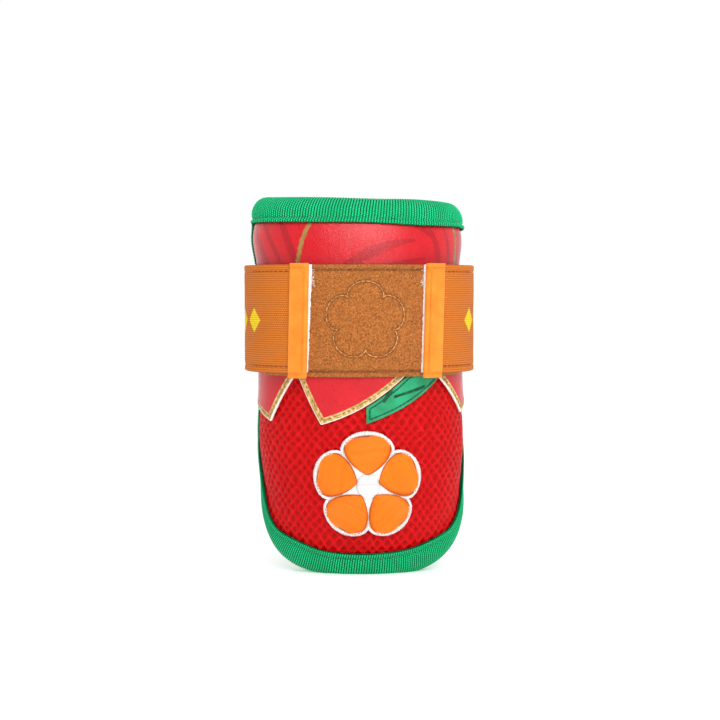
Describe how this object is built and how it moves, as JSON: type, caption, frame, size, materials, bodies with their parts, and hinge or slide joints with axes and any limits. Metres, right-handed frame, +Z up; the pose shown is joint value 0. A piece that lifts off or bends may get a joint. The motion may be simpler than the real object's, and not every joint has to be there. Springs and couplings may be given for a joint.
{
  "type": "elbow guard",
  "caption": "Padded sports elbow guard: curved shell with leather panels, bound edge and an elastic strap that closes round the arm on a pile patch.",
  "frame": {"origin": "middle of the bounding box at floor level, under the arm hollow", "axes": "+Z up along the forearm, front of the guard to -Y, +X to the viewer's right"},
  "size_m": [0.1058, 0.0868, 0.172],
  "materials": {
    "padding": "matte",
    "green_tape": "matte",
    "embossed_leather": "satin",
    "red_leather": "satin",
    "green_leather": "satin",
    "white_thread": "matte",
    "orange_thread": "satin",
    "elastic": "matte",
    "loop_pile": "matte",
    "hook_tape": "matte",
    "tab_cloth": "matte"
  },
  "bodies": {
    "root": {"pad_body": "padding", "edge_binding": "green_tape", "lower_panel": "embossed_leather", "upper_panel": "red_leather", "leaf_patch": "green_leather", "badge_backing": "white_thread", "badge_petal_1": "orange_thread", "badge_petal_2": "orange_thread", "badge_petal_3": "orange_thread", "badge_petal_4": "orange_thread", "badge_petal_5": "orange_thread", "strap_elastic": "elastic", "loop_patch": "loop_pile", "hook_pad_left": "hook_tape", "hook_pad_right": "hook_tape", "pull_tab_left": "tab_cloth", "pull_tab_right": "tab_cloth"}
  },
  "joints": []
}
